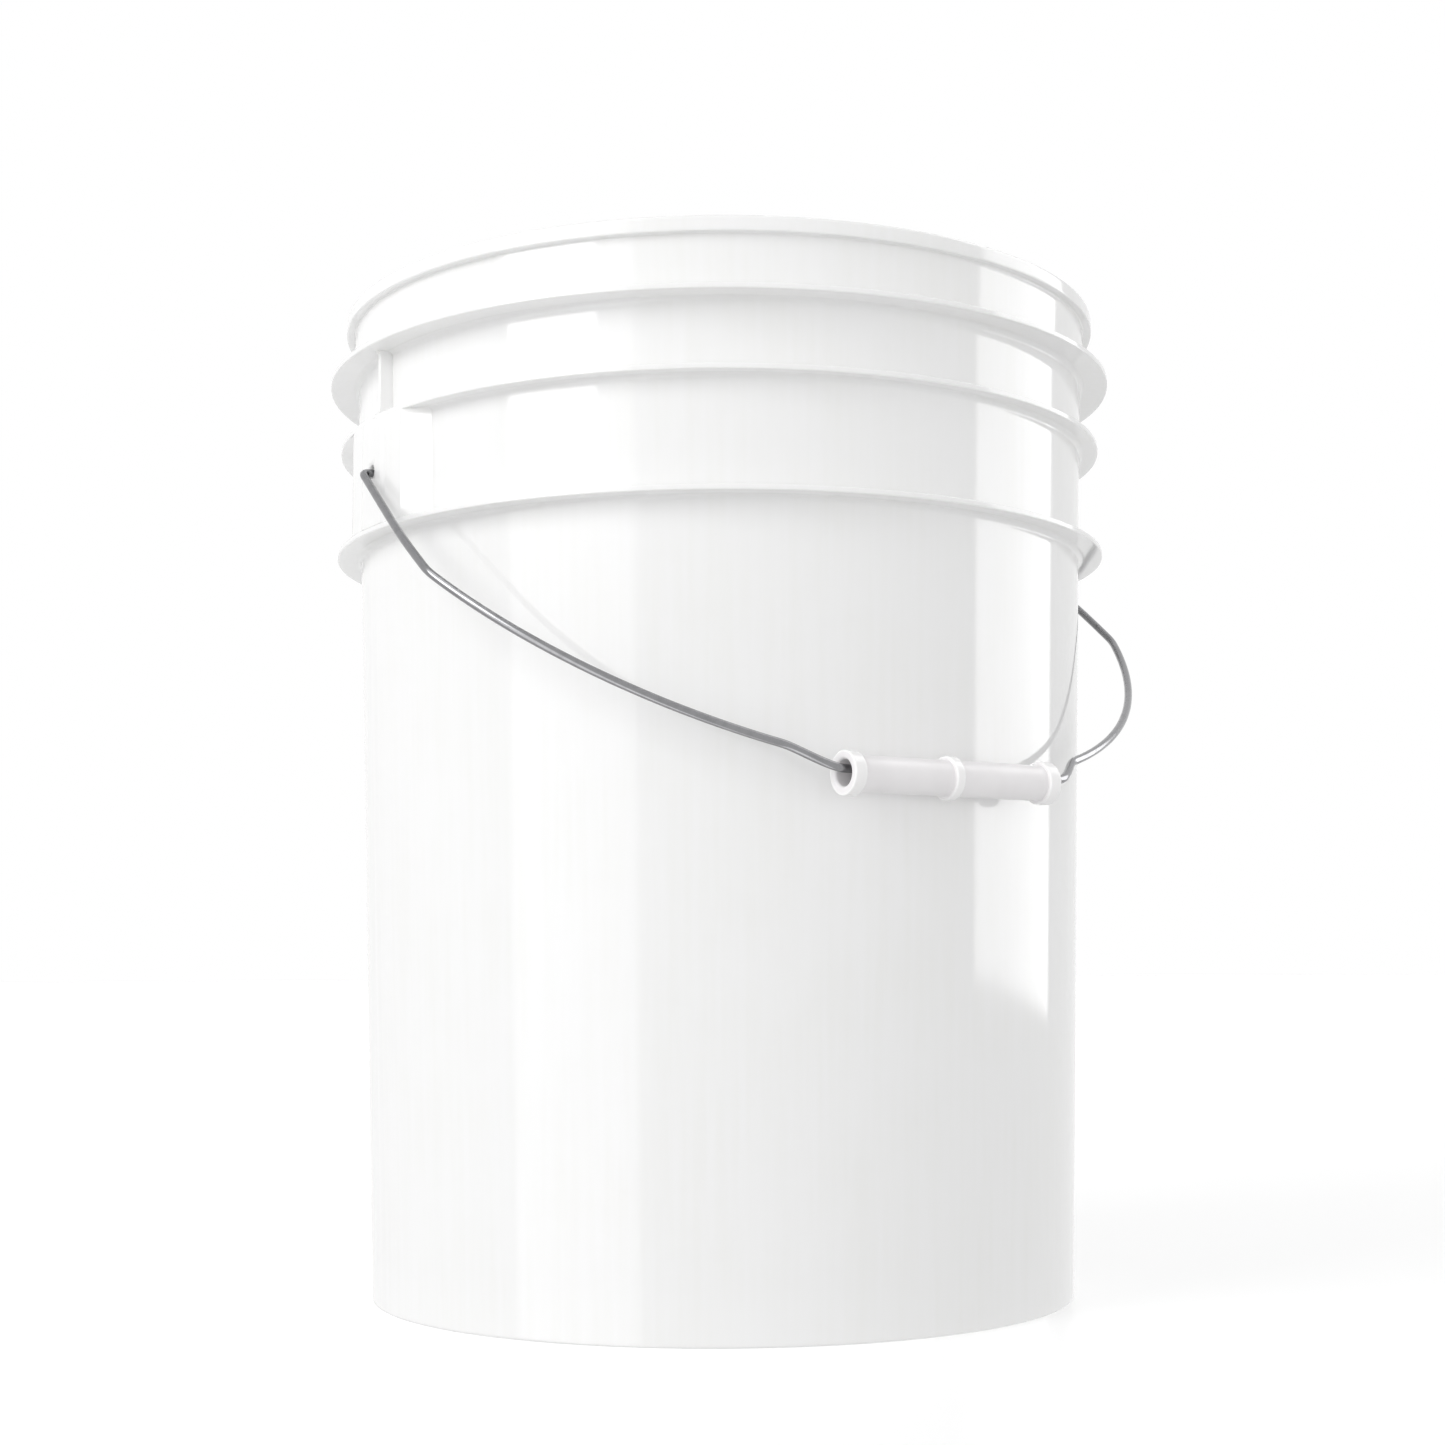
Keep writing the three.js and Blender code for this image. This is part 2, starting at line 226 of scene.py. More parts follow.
def bucketGrid():
    # P(r, a) = (r cos a, r sin a, z). Between the low and middle rings the radius grows by
    # w (1 - f) (pad - wall): w falls evenly from 1 on the pad to 0 past its ramp, and f is how far out
    # the point already is on a ring's face. The boss is flat, so its radius is its distance over cos a.
    e = ear
    outline = bucketOutline()
    angle = roundStations()[None, :]
    radius, z = outline[:, :1], outline[:, 1:]
    aside = (angle + np.pi / 2) % np.pi - np.pi / 2
    along = np.abs(aside) * padRadius
    onPad = 1 - np.clip((along - e["halfWidth"]) / e["ramp"], 0, 1)
    onBoss = 1 - smoothStep((along - e["bossHalfWidth"]) / e["bossEdge"])
    face = padRadius + onBoss * (bossFace / np.cos(aside) - padRadius)
    edge = np.interp(z, [earBottom, middleUnder], [lowRadius, middleRadius])
    outness = np.clip((radius - wallRadius(z)) / (edge - wallRadius(z)), 0, 1)
    inZone = (z > earBottom - 0.01) & (z < middleUnder + 0.01) & (radius > wallRadius(z) - 0.5)
    radius = radius + inZone * onPad * (1 - outness) * (face - wallRadius(z))
    return np.stack([radius * np.cos(angle), radius * np.sin(angle), z + 0 * angle], axis=-1)


def gussetGrid(side):
    # An upright plate between the middle and top rings: its rounded plan is carried up z, and its outer
    # edge moves out by 0.8 f u^3, where u rises from 0 to 1 over the last f millimetres before each ring.
    e = ear
    bottom = middleUnder + bucket["ringThickness"]
    inner, outer = wallRadius(bottom) - e["gussetRoot"], wallRadius(topUnder) + e["gussetReach"]
    half = e["gussetThickness"] / 2
    plan = np.array([(inner, -half), (outer, -half), (outer, half), (inner, half)])
    plan = roundedOutline(plan, np.full(4, e["gussetEdge"]), closed=True, flat=0.2)
    z = np.linspace(bottom - e["gussetSink"], topUnder + e["gussetSink"], 40)[:, None]
    flare = np.clip(np.maximum(z - topUnder, bottom - z) / e["gussetFlare"] + 1, 0, 1) ** 3
    x = plan[:, 0] + 0.8 * e["gussetFlare"] * flare * (plan[:, 0] - inner) / (outer - inner)
    return np.stack([side * x, side * plan[:, 1] + 0 * z, z + 0 * x], axis=-1)


def earHoleGrid(side):
    # A blind hole along X with a rounded bottom and an eased mouth, turned about its own axis.
    e = ear
    radius, mouth = e["holeRadius"], e["holeRadius"] + e["holeMouth"]
    holeHeight = pivotHeight - wire["diameter"] / 2 - e["wireGap"] + radius
    bottom = wallRadius(holeHeight) + e["holeFloor"]
    face = bossFace - bottom
    depth = np.array([0, 0.15, 0.5, 1.5, face - 0.6, face - 0.2, face + 0.1, face + 3])[:, None]
    across = np.array([1.6, 2.0, radius, radius, radius, radius + 0.1, mouth, mouth + 2])[:, None]
    a = np.linspace(0, 2 * np.pi, 48, endpoint=False)[None, :]
    return np.stack([
        side * (bottom + depth + 0 * a),
        side * across * np.cos(a),
        holeHeight + across * np.sin(a),
    ], axis=-1)


wire = {
    "diameter": 3.0, "drawn": 2.88, "pinLength": 7.0, "hookRadius": 3.0, "hookGap": 2.2,
    "ringClearance": 0.25, "kneeAboveRim": 0.8, "kneeInset": 0.8, "kneeRound": 3, "shoulderAngle": 20.5,
    "reachPastRing": 31.5, "crankDrop": 13.2, "crankLength": 17.5, "crankPlay": 1.5,
    "endRounding": 0.7, "sides": 24, "spacing": 1.0,
}
grip = {
    "length": 86, "radius": 6.1, "boreRadius": 4.4, "boreMouth": 0.6,
    "collarRadius": 7.4, "endCollar": 4.6, "middleCollar": 3.4,
    "drop": 1.4, "shift": -2.5, "restGap": 0.4,  # how the loose grip hangs and rests on the wall
    "skin": 0.01,  # the moulded surface lies this far inside its nominal radius
    "faceEdge": 0.5, "collarEdge": 0.9, "collarFoot": 0.4, "sides": 96, "rowSpacing": 3,
}

bailReach = topRadius + wire["reachPastRing"]
leanAngle = np.arctan(bucket["wallLean"])
gripDistance = wallRadius(pivotHeight - grip["drop"]) + grip["collarRadius"] + grip["restGap"]
hangAngle = np.arcsin(gripDistance * np.cos(leanAngle) / bailReach) - leanAngle


def hermite(start, end, startPull, endPull, count):
    # p(t) = (2t^3-3t^2+1) start + (t^3-2t^2+t) startPull + (3t^2-2t^3) end + (t^3-t^2) endPull
    t = np.linspace(0, 1, count)[:, None]
    return ((2 * t**3 - 3 * t**2 + 1) * start + (t**3 - 2 * t**2 + t) * startPull
            + (3 * t**2 - 2 * t**3) * end + (t**3 - t**2) * endPull)


def halfBail():
    # The centre line in the bail's own plane, from the pin's end to the middle of the grip:
    # the first number is the distance out from the middle, the second the distance from the pivot line.
    w = wire
    hang = bossFace + w["hookGap"] + w["diameter"] / 2
    widest = topRadius + w["ringClearance"] + w["diameter"] / 2
    ringLevel = topUnder + bucket["ringThickness"] / 2 - pivotHeight
    knee = np.array([widest - w["kneeInset"], bucket["height"] - pivotHeight + w["kneeAboveRim"]])
    straightEnd = grip["length"] / 2 + w["crankPlay"]
    crank = np.array([straightEnd + w["crankLength"], bailReach - w["crankDrop"]])

    turn = np.linspace(-np.pi / 2, 0, 24)
    hook = np.stack([hang - w["hookRadius"] + w["hookRadius"] * np.cos(turn),
                     w["hookRadius"] + w["hookRadius"] * np.sin(turn)], axis=1)
    armStart, armMiddle = hook[-1], np.array([widest, ringLevel])
    arm = np.vstack([
        hermite(armStart, armMiddle, (armMiddle - armStart) / 2, (knee - armStart) / 2, 40),
        hermite(armMiddle, knee, (knee - armStart) / 2, (knee - armMiddle) / 2, 30)[1:],
    ])

    # The shoulder is an arc that leaves the knee at the shoulder's angle and ends at the crank.
    chord = crank - knee
    begin = np.radians(w["shoulderAngle"])
    turning = np.arctan2(-chord[0], chord[1]) - begin
    arcRadius = np.hypot(*chord) / (2 * np.sin(turning))
    sweep = begin + np.linspace(0, 2 * turning, 120)
    arc = np.stack([np.cos(sweep) - np.cos(begin), np.sin(sweep) - np.sin(begin)], axis=1)
    shoulder = knee + arcRadius * arc

    fromKnee = np.linalg.norm(arm - knee, axis=1) > w["kneeRound"]
    pastKnee = np.linalg.norm(shoulder - knee, axis=1) > w["kneeRound"]
    arm, shoulder = arm[fromKnee], shoulder[pastKnee]
    t = np.linspace(0, 1, 12)[:, None]
    bend = (1 - t) ** 2 * arm[-1] + 2 * t * (1 - t) * knee + t ** 2 * shoulder[0]

    along = (shoulder[-1] - shoulder[-2]) / np.linalg.norm(shoulder[-1] - shoulder[-2])
    pull = crank + along * 0.28 * w["crankLength"]
    level = np.array([straightEnd, bailReach])
    levelPull = level + [0.36 * w["crankLength"], 0]
    t = np.linspace(0, 1, 40)[:, None]
    offset = (1 - t)**3 * crank + 3 * t * (1 - t)**2 * pull + 3 * t**2 * (1 - t) * levelPull + t**3 * level
    pin = np.array([[bossFace - w["pinLength"], 0]])
    return np.vstack([pin, hook, arm[1:], bend[1:-1], shoulder, offset[1:], [[0, bailReach]]])


def bailGrids():
    # P(s, a) = C(s) + r (cos a N + sin a B): C is the centre line, N the normal of the bail's plane and
    # B = T x N. Near each end r is scaled by sqrt(1 - (1-q)^2), where q runs from 0 at the end to 1.
    w = wire
    half = evenPath(halfBail(), 0.5)
    flatPath = np.vstack([half, (half * [-1, 1])[-2::-1]])
    kernel = np.hanning(7) / np.hanning(7).sum()  # eases the joins between the stretches
    padded = np.pad(flatPath, ((3, 3), (0, 0)), mode="edge")
    eased = np.stack([np.convolve(column, kernel, "valid") for column in padded.T], axis=1)
    eased[:4], eased[-4:] = flatPath[:4], flatPath[-4:]
    flatPath = evenPath(eased, w["spacing"])
    ends = w["endRounding"] * (1 - np.cos(np.linspace(0.25, np.pi / 2, 6)))
    length = np.concatenate([[0], np.cumsum(np.linalg.norm(np.diff(flatPath, axis=0), axis=1))])
    between = length[(length > 1) & (length < length[-1] - 1)]
    stations = np.concatenate([ends, between, length[-1] - ends[::-1]])
    flatPath = np.stack([np.interp(stations, length, column) for column in flatPath.T], axis=1)

    down = np.array([0, -np.sin(hangAngle), -np.cos(hangAngle)])
    centre = flatPath[:, :1] * [1, 0, 0] + flatPath[:, 1:] * down + [0, 0, pivotHeight]
    tangent = np.gradient(centre, stations, axis=0)
    tangent /= np.linalg.norm(tangent, axis=1, keepdims=True)
    normal = np.array([0, np.cos(hangAngle), -np.sin(hangAngle)])
    sideways = np.cross(tangent, normal)
    q = np.clip(np.minimum(stations, length[-1] - stations) / w["endRounding"], 0, 1)
    radius = (w["drawn"] / 2 * np.sqrt(1 - (1 - q) ** 2))[:, None, None]
    a = np.linspace(0, 2 * np.pi, w["sides"], endpoint=False)[None, :, None]
    grid = centre[:, None] + radius * (np.cos(a) * normal + np.sin(a) * sideways[:, None])
    straight = stations[:, None, None] * [1, 0, 0] + radius * (np.cos(a) * [0, 1, 0] + np.sin(a) * [0, 0, 1])
    return grid, straight


def gripOutline():
    # A closed loop of (place along the grip, radius): the bore, one end, the collars, the other end.
    g = grip
    end = g["length"] / 2
    corners, rounding = [], []

    def corner(place, radius, edge):
        corners.append((place, radius))
        rounding.append(edge)

    def collar(start, stop, startEdge, stopEdge):
        corner(start, g["collarRadius"], startEdge)
        corner(stop, g["collarRadius"], stopEdge)

    corner(end - g["boreMouth"], g["boreRadius"], 0.4)
    corner(-end + g["boreMouth"], g["boreRadius"], 0.4)
    corner(-end, g["boreRadius"] + g["boreMouth"], 0.3)
    collar(-end, -end + g["endCollar"], g["faceEdge"], g["collarEdge"])
    corner(-end + g["endCollar"], g["radius"], g["collarFoot"])
    corner(-g["middleCollar"] / 2, g["radius"], g["collarFoot"])
    collar(-g["middleCollar"] / 2, g["middleCollar"] / 2, g["collarEdge"], g["collarEdge"])
    corner(g["middleCollar"] / 2, g["radius"], g["collarFoot"])
    corner(end - g["endCollar"], g["radius"], g["collarFoot"])
    collar(end - g["endCollar"], end, g["collarEdge"], g["faceEdge"])
    corner(end, g["boreRadius"] + g["boreMouth"], 0.3)
    loop = roundedOutline(np.array(corners, float), np.array(rounding, float), closed=True)
    return filledOutline(np.vstack([loop, loop[:1]]), g["rowSpacing"])[:-1]


def gripGrid():
    # P(x, a) = (x, r cos a, r sin a) about the grip's own axis, which hangs a little below the wire.
    outline = gripOutline()
    hangHeight = pivotHeight - bailReach * np.cos(hangAngle)
    middle = [grip["shift"], -bailReach * np.sin(hangAngle), hangHeight - grip["drop"]]
    a = np.linspace(0, 2 * np.pi, grip["sides"], endpoint=False)[None, :]
    place, radius = outline[:, :1], outline[:, 1:] - grip["skin"]
    grid = np.stack([place + 0 * a, radius * np.cos(a), radius * np.sin(a)], axis=-1) + middle
    return grid, np.stack([place + 0 * a, radius + 0 * a, 0 * place + 0 * a], axis=-1)


def linear(hexColour):
    # sRGB hex to linear: c / 12.92 below 0.04045, ((c + 0.055) / 1.055)^2.4 above.
    c = np.array([int(hexColour[i:i + 2], 16) / 255 for i in (1, 3, 5)])
    return (*np.where(c < 0.04045, c / 12.92, ((c + 0.055) / 1.055) ** 2.4), 1.0)


def addNode(tree, kind, settings=None, **inputs):
    # One node: its settings, then its inputs, where a socket is linked and anything else is a value.
    node = tree.nodes.new(kind)
    for name, value in (settings or {}).items():
        setattr(node, name, value)
    for name, value in inputs.items():
        numbered = name[0] == "i" and name[1:].isdigit()  # i6 is the seventh input
        socket = node.inputs[int(name[1:]) if numbered else name.replace("_", " ")]
        if isinstance(value, bpy.types.NodeSocket):
            tree.links.new(value, socket)
        else:
            socket.default_value = value
    return node


def newMaterial(name):
    material = bpy.data.materials.new(name)
    material.use_nodes = True
    material.node_tree.nodes.clear()
    return material, material.node_tree


def finishMaterial(tree, shader):
    addNode(tree, "ShaderNodeOutputMaterial", Surface=shader.outputs[0])


polyethylene = {
    "white": "#F4F4F4", "shade": "#F2F2F1", "ior": 1.54,
    "subsurface": 0.5, "depth": 3,  # how much light enters the plastic, and how far it spreads there
    "roughness": (0.05, 0.08), "scuffRoughness": 0.12,
    "mottle": 32, "drag": (3, 90), "peel": 0.9,
    "scuff": (7, 0.35),  # drawn wider than a real scuff of about 0.1, which is too fine to show
}


def mouldedPolyethylene():
    # Injection-moulded high-density polyethylene: a waxy white with a soft gloss, faint streaks up the
    # draw of the mould, a very slight unevenness that bends reflections, and fine scuffs from handling.
    m = polyethylene
    material, tree = newMaterial("moulded white HDPE")
    place = addNode(tree, "ShaderNodeTexCoord").outputs["Object"]
    perMetre = lambda millimetres: 1000 / millimetres  # a noise's scale for features of that size
    cloud = addNode(tree, "ShaderNodeTexNoise", Vector=place, Scale=perMetre(m["mottle"]), Detail=3.0)
    cloud = cloud.outputs["Fac"]
    across, along = m["drag"]
    upright = addNode(tree, "ShaderNodeMapping", Vector=place, Scale=(1, 1, across / along)).outputs[0]
    streak = addNode(tree, "ShaderNodeTexNoise", Vector=upright, Scale=perMetre(across), Detail=2.0)
    streak = streak.outputs["Fac"]
    scuffWay = addNode(tree, "ShaderNodeMapping", Vector=place, Rotation=(0.5, 0.3, 0.8),
                       Scale=(1, 1, m["scuff"][1] / m["scuff"][0])).outputs[0]
    scuffScale = perMetre(m["scuff"][1] * 4)
    scuff = addNode(tree, "ShaderNodeTexNoise", Vector=scuffWay, Scale=scuffScale, Detail=4.0)
    scuff = addNode(tree, "ShaderNodeMapRange", Value=scuff.outputs["Fac"], From_Min=0.64, From_Max=0.78)
    scuff = scuff.outputs[0]
    blend = addNode(tree, "ShaderNodeMath", {"operation": "MULTIPLY"}, i0=cloud, i1=streak).outputs[0]
    tint = addNode(tree, "ShaderNodeMapRange", Value=blend, From_Min=0.15, From_Max=0.4).outputs[0]
    colour = addNode(tree, "ShaderNodeMix", {"data_type": "RGBA"}, Factor=tint,
                     i6=linear(m["white"]), i7=linear(m["shade"]))
    gloss = addNode(tree, "ShaderNodeMapRange", Value=cloud, From_Min=0.3, From_Max=0.7,
                    To_Min=m["roughness"][0], To_Max=m["roughness"][1]).outputs[0]
    roughness = addNode(tree, "ShaderNodeMath", {"operation": "MULTIPLY_ADD"},
                        i0=scuff, i1=m["scuffRoughness"], i2=gloss).outputs[0]
    peel = addNode(tree, "ShaderNodeTexNoise", Vector=place, Scale=perMetre(m["peel"]), Detail=2.0)
    wave = addNode(tree, "ShaderNodeBump", Height=cloud, Strength=1.0, Distance=0.00003)
    grain = addNode(tree, "ShaderNodeBump", Height=peel.outputs["Fac"], Strength=0.5, Distance=0.000002,
                    Normal=wave.outputs[0])
    scratch = addNode(tree, "ShaderNodeBump", {"invert": True}, Height=scuff, Strength=0.4, Distance=0.00001,
                      Normal=grain.outputs[0])
    shader = addNode(tree, "ShaderNodeBsdfPrincipled", Base_Color=colour.outputs[2], Roughness=roughness,
                     IOR=m["ior"], Subsurface_Weight=m["subsurface"], Subsurface_Radius=(1, 1, 1),
                     Subsurface_Scale=m["depth"] / 1000, Normal=scratch.outputs[0])
    finishMaterial(tree, shader)
    return material


zincWire = {
    "bright": "#8F8F91", "dull": "#868688", "roughness": (0.14, 0.22), "spot": 3,
    "line": (0.35, 60),  # real die lines are some 0.03 wide, too fine to show, so they are drawn coarser
}


def drawnZincWire():
    # Zinc-plated steel wire: drawn through a die, so fine bright lines run along it under a thin plating
    # that has dulled in small spots.
    m = zincWire
    material, tree = newMaterial("drawn zinc plated steel")
    route = addNode(tree, "ShaderNodeAttribute", {"attribute_name": "route"}).outputs["Vector"]
    width, length = m["line"]
    drawn = addNode(tree, "ShaderNodeMapping", Vector=route, Scale=(width / length, 1, 1)).outputs[0]
    lines = addNode(tree, "ShaderNodeTexNoise", Vector=drawn, Scale=1000 / width, Detail=2.0)
    spots = addNode(tree, "ShaderNodeTexNoise", Vector=route, Scale=1000 / m["spot"], Detail=4.0)
    spots = spots.outputs["Fac"]
    dulled = addNode(tree, "ShaderNodeMapRange", Value=spots, From_Min=0.45, From_Max=0.7).outputs[0]
    colour = addNode(tree, "ShaderNodeMix", {"data_type": "RGBA"}, Factor=dulled,
                     i6=linear(m["bright"]), i7=linear(m["dull"]))
    roughness = addNode(tree, "ShaderNodeMapRange", Value=dulled,
                        To_Min=m["roughness"][0], To_Max=m["roughness"][1])
    bump = addNode(tree, "ShaderNodeBump", Height=lines.outputs["Fac"], Strength=0.5, Distance=0.000008)
    shader = addNode(tree, "ShaderNodeBsdfPrincipled", Base_Color=colour.outputs[2], Metallic=1.0,
                     Roughness=roughness.outputs[0], Normal=bump.outputs[0])
    finishMaterial(tree, shader)
    return material


gripPlastic = {
    # the collar colour is whiter than the tube's: a painted highlight for the light the collars catch
    "tube": "#F2F0F1", "rubbed": "#EFEDEE", "collar": "#FBFAFA", "ior": 1.5,
    "subsurface": 0.2, "depth": 1.5,
    "roughness": (0.28, 0.38), "collarRoughness": 0.16, "cloud": 9,
    "grain": 0.6,  # the real grain is about 0.1, too fine to show, so it is drawn coarser
    "split": (6.3, 6.9),  # the finish and the collars' painted highlight change between these distances from the axis
}


def satinPolypropylene():
    # Injection-moulded polypropylene. The tube has a fine spark-eroded grain, a little duller than the
    # bucket and rubbed in patches by the hand. The collars are glossier, and their whiter colour is a
    # painted highlight for the bright light they catch.
    m = gripPlastic
    material, tree = newMaterial("satin moulded polypropylene")
    place = addNode(tree, "ShaderNodeTexCoord").outputs["Object"]
    cloud = addNode(tree, "ShaderNodeTexNoise", Vector=place, Scale=1000 / m["cloud"], Detail=3.0)
    cloud = cloud.outputs["Fac"]
    patch = addNode(tree, "ShaderNodeMapRange", Value=cloud, From_Min=0.35, From_Max=0.65).outputs[0]
    colour = addNode(tree, "ShaderNodeMix", {"data_type": "RGBA"}, Factor=patch,
                     i6=linear(m["tube"]), i7=linear(m["rubbed"]))
    route = addNode(tree, "ShaderNodeAttribute", {"attribute_name": "route"}).outputs["Vector"]
    fromAxis = addNode(tree, "ShaderNodeSeparateXYZ", Vector=route).outputs["Y"]
    onCollar = addNode(tree, "ShaderNodeMapRange", Value=fromAxis,
                       From_Min=m["split"][0] / 1000, From_Max=m["split"][1] / 1000).outputs[0]
    # the collars get the whiter colour here, a painted highlight; their lower roughness below is a real gloss
    colourWithCollarHighlight = addNode(tree, "ShaderNodeMix", {"data_type": "RGBA"}, Factor=onCollar, i6=colour.outputs[2],
                    i7=linear(m["collar"]))
    tubeRoughness = addNode(tree, "ShaderNodeMapRange", Value=patch,
                            To_Min=m["roughness"][0], To_Max=m["roughness"][1])
    roughness = addNode(tree, "ShaderNodeMix", {"data_type": "FLOAT"}, Factor=onCollar,
                        i2=tubeRoughness.outputs[0], i3=m["collarRoughness"])
    grain = addNode(tree, "ShaderNodeTexNoise", Vector=place, Scale=1000 / m["grain"], Detail=3.0)
    bump = addNode(tree, "ShaderNodeBump", Height=grain.outputs["Fac"], Strength=0.4, Distance=0.000012)
    shader = addNode(tree, "ShaderNodeBsdfPrincipled", Base_Color=colourWithCollarHighlight.outputs[2],
                     Roughness=roughness.outputs[0], IOR=m["ior"],
                     Subsurface_Weight=m["subsurface"], Subsurface_Radius=(1, 1, 1),
                     Subsurface_Scale=m["depth"] / 1000, Normal=bump.outputs[0])
    finishMaterial(tree, shader)
    return material


bucketSharpAngle = 52  # degrees: the ears' ramps blend into the wall, and square corners stay crisp
bucketShell = makePiece("bucket_shell", bucketGrid(), sharpAngle=bucketSharpAngle)
gussets = [makePiece(f"gusset_{side}", gussetGrid(side)) for side in (1, -1)]
holes = [makePiece(f"ear_hole_{side}", earHoleGrid(side)) for side in (1, -1)]
joinAndCut(bucketShell, gussets, holes, sharpAngle=bucketSharpAngle)
bucketShell.data.materials.clear()
bucketShell.data.materials.append(mouldedPolyethylene())
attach(bucketShell, "bucket")
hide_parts("bucket")
print("bucket built with", len(bucketShell.data.polygons), "faces")

wireGrid, wireRoute = bailGrids()
bailPiece = makePiece("bail_of_wire", wireGrid, route=wireRoute)
bailPiece.data.materials.append(drawnZincWire())
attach(bailPiece, "bail")
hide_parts("bail_wire")
print("bail built with", len(bailPiece.data.polygons), "faces")

gripPoints, gripRoute = gripGrid()
gripPiece = makePiece("hand_grip", gripPoints, ring=True, route=gripRoute)
gripPiece.data.materials.append(satinPolypropylene())
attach(gripPiece, "grip")
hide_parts("grip")
print("grip built with", len(gripPiece.data.polygons), "faces")


studio = {
    "floorSide": 60000, "floorColour": "#F7F7F7", "floorGlow": 0.23, "floorSheen": 0.25,
    "keyAzimuth": -172.7, "keyElevation": 27, "keyDistance": 2200, "keySide": 1100, "keyPower": 15.6,
    "sky": 0.64, "horizonGlow": 0.56, "horizonReach": 0.5, "glossy": 1.0,
    "bandAzimuth": -168.95, "bandHalfWidth": 20.75, "bandGlow": 1.1,
    "windowAzimuth": -16.95, "windowHalfWidth": 20.45, "windowGlow": 2.5, "windowFoot": -2.4,
    "backAzimuth": 57.3, "backDimming": 0.36,
}


def paleFloor():
    # Matt white board that glows a little, as a lit sweep does, with a faint sheen. It is clear from below.
    s = studio
    material, tree = newMaterial("matt white board")
    matt = addNode(tree, "ShaderNodeBsdfPrincipled",
                   Base_Color=linear(s["floorColour"]), Roughness=s["floorSheen"],
                   Emission_Color=(1, 1, 1, 1), Emission_Strength=s["floorGlow"])
    below = addNode(tree, "ShaderNodeNewGeometry").outputs["Backfacing"]
    clear = addNode(tree, "ShaderNodeBsdfTransparent").outputs[0]
    finishMaterial(tree, addNode(tree, "ShaderNodeMixShader", Fac=below, i1=matt.outputs[0], i2=clear))
    half = s["floorSide"] / 2000
    corners = [(-half, -half, 0), (half, -half, 0), (half, half, 0), (-half, half, 0)]
    mesh = bpy.data.meshes.new("floor")
    mesh.from_pydata(corners, [], [(0, 1, 2, 3)])
    mesh.materials.append(material)
    floor = bpy.data.objects.new("floor", mesh)
    bpy.context.scene.collection.objects.link(floor)
    # The sky below the floor lights the bucket, so the floor is left out of its light and reflections.
    floor.visible_diffuse = floor.visible_glossy = floor.visible_shadow = False
    return floor


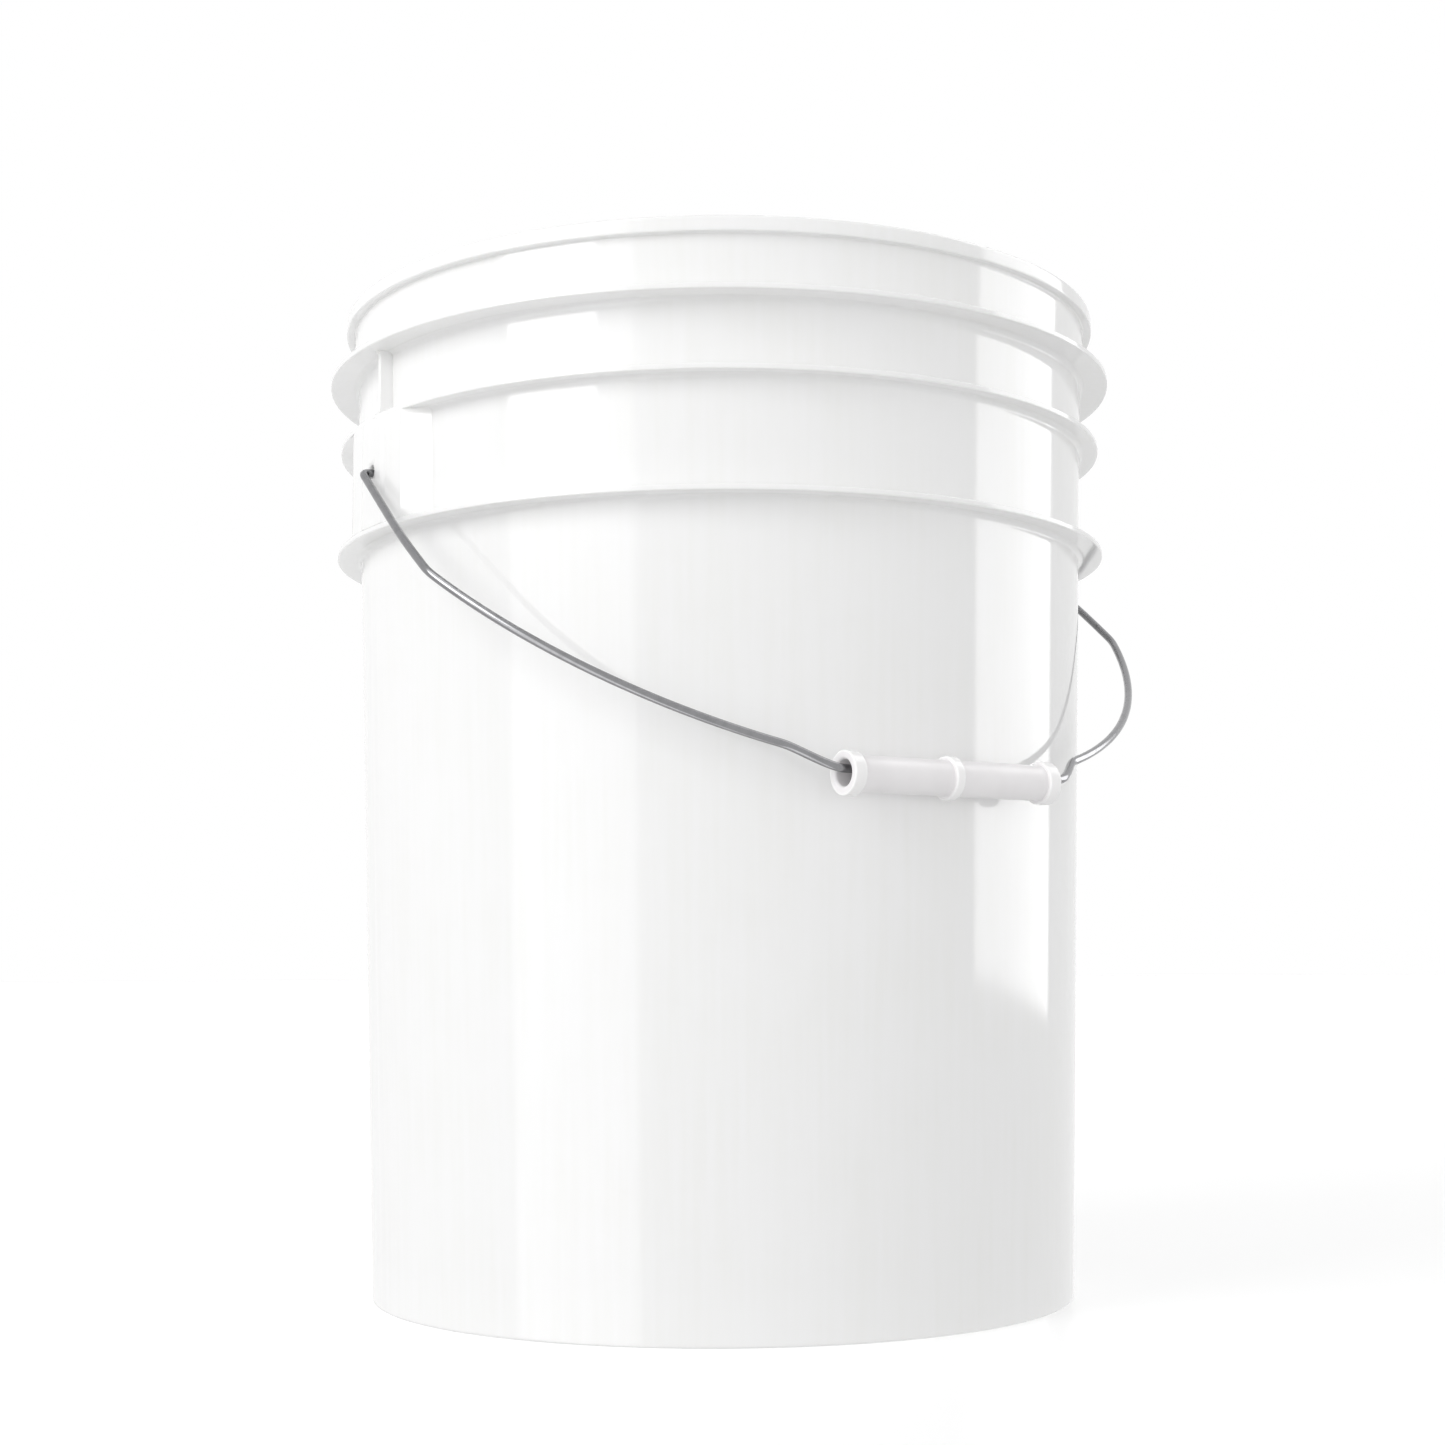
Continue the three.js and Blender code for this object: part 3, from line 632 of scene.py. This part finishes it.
def studioSky():
    # A white room lights matt surfaces. It is brightest all round at the height of the bucket and dimmer
    # behind it. Reflections see a wide panel on the left and a tall window on the right instead.
    s = studio
    world = bpy.data.worlds.new("studio")
    bpy.context.scene.world = world
    world.use_nodes = True
    tree = world.node_tree
    tree.nodes.clear()
    way = addNode(tree, "ShaderNodeTexCoord").outputs["Generated"]
    level = addNode(tree, "ShaderNodeVectorMath", {"operation": "MULTIPLY"}, i0=way, i1=(1, 1, 0)).outputs[0]
    level = addNode(tree, "ShaderNodeVectorMath", {"operation": "NORMALIZE"}, i0=level).outputs[0]
    height = addNode(tree, "ShaderNodeSeparateXYZ", Vector=way).outputs["Z"]

    def towards(azimuth):  # the cosine of the level angle between the ray and this way
        a = np.radians(azimuth)
        node = addNode(tree, "ShaderNodeVectorMath", {"operation": "DOT_PRODUCT"},
                       i0=level, i1=(np.cos(a), np.sin(a), 0))
        return node.outputs["Value"]

    def panel(azimuth, halfWidth):
        outer, inner = np.cos(np.radians([halfWidth + 1, halfWidth - 1]))  # its edge is two degrees wide
        node = addNode(tree, "ShaderNodeMapRange", Value=towards(azimuth), From_Min=outer, From_Max=inner)
        return node.outputs[0]

    foot = np.sin(np.radians(s["windowFoot"]))
    aboveFoot = addNode(tree, "ShaderNodeMapRange", Value=height,
                        From_Min=foot - 0.004, From_Max=foot + 0.004)
    window = addNode(tree, "ShaderNodeMath", {"operation": "MULTIPLY"},
                     i0=panel(s["windowAzimuth"], s["windowHalfWidth"]), i1=aboveFoot.outputs[0]).outputs[0]
    withWindow = addNode(tree, "ShaderNodeMath", {"operation": "MULTIPLY_ADD"},
                         i0=window, i1=s["windowGlow"], i2=s["glossy"]).outputs[0]
    band = panel(s["bandAzimuth"], s["bandHalfWidth"])
    shine = addNode(tree, "ShaderNodeMath", {"operation": "MULTIPLY_ADD"},
                    i0=band, i1=s["bandGlow"], i2=withWindow).outputs[0]
    steepness = addNode(tree, "ShaderNodeMath", {"operation": "ABSOLUTE"}, i0=height).outputs[0]
    even = addNode(tree, "ShaderNodeMapRange", {"interpolation_type": "SMOOTHSTEP"}, Value=steepness,
                   From_Min=0.0, From_Max=s["horizonReach"],
                   To_Min=s["sky"] + s["horizonGlow"], To_Max=s["sky"]).outputs[0]
    dimming = addNode(tree, "ShaderNodeMapRange", {"interpolation_type": "SMOOTHSTEP"},
                      Value=towards(s["backAzimuth"]), From_Min=0.17, From_Max=0.87,
                      To_Min=1.0, To_Max=1 - s["backDimming"]).outputs[0]
    even = addNode(tree, "ShaderNodeMath", {"operation": "MULTIPLY"}, i0=even, i1=dimming).outputs[0]
    kind = addNode(tree, "ShaderNodeLightPath")
    light = addNode(tree, "ShaderNodeMix", {"data_type": "FLOAT"}, Factor=kind.outputs["Is Glossy Ray"],
                    i2=even, i3=shine)
    seen = addNode(tree, "ShaderNodeMix", {"data_type": "FLOAT"}, Factor=kind.outputs["Is Camera Ray"],
                   i2=light.outputs[0], i3=1.0)
    background = addNode(tree, "ShaderNodeBackground", Color=(1, 1, 1, 1), Strength=seen.outputs[0])
    addNode(tree, "ShaderNodeOutputWorld", Surface=background.outputs[0])


def keyLight():
    # One large soft panel to the left of the camera, above the bucket.
    s = studio
    light = bpy.data.lights.new("key", "AREA")
    light.shape, light.size, light.energy = "SQUARE", s["keySide"] / 1000, s["keyPower"]
    lamp = bpy.data.objects.new("key", light)
    bpy.context.scene.collection.objects.link(lamp)
    azimuth, elevation = np.radians(s["keyAzimuth"]), np.radians(s["keyElevation"])
    target = Vector((0, 0, bucket["height"] / 2000))
    flat = np.cos(elevation)
    direction = Vector((flat * np.cos(azimuth), flat * np.sin(azimuth), np.sin(elevation)))
    lamp.location = target + direction * s["keyDistance"] / 1000
    lamp.rotation_euler = direction.to_track_quat("Z", "Y").to_euler()
    lamp.visible_camera = False


view = {
    "place": (-457.646, -714.502, 119.5), "heading": 32.686, "pitch": 6.446, "roll": -0.269,
    "lens": 54.81, "sensor": 36,
}


def addCamera():
    # Turned from looking straight down: rolled, tipped up past the horizon, then swung to its heading.
    data = bpy.data.cameras.new("camera")
    data.lens, data.sensor_width = view["lens"], view["sensor"]
    camera = bpy.data.objects.new("camera", data)
    bpy.context.scene.collection.objects.link(camera)
    turn = (Matrix.Rotation(np.radians(-view["heading"]), 4, "Z")
            @ Matrix.Rotation(np.radians(90 + view["pitch"]), 4, "X")
            @ Matrix.Rotation(np.radians(view["roll"]), 4, "Z"))
    camera.matrix_world = Matrix.Translation(Vector(view["place"]) / 1000) @ turn
    bpy.context.scene.camera = camera


paleFloor()
studioSky()
keyLight()
addCamera()
bpy.context.scene.view_settings.view_transform = "Standard"
print("studio ready")
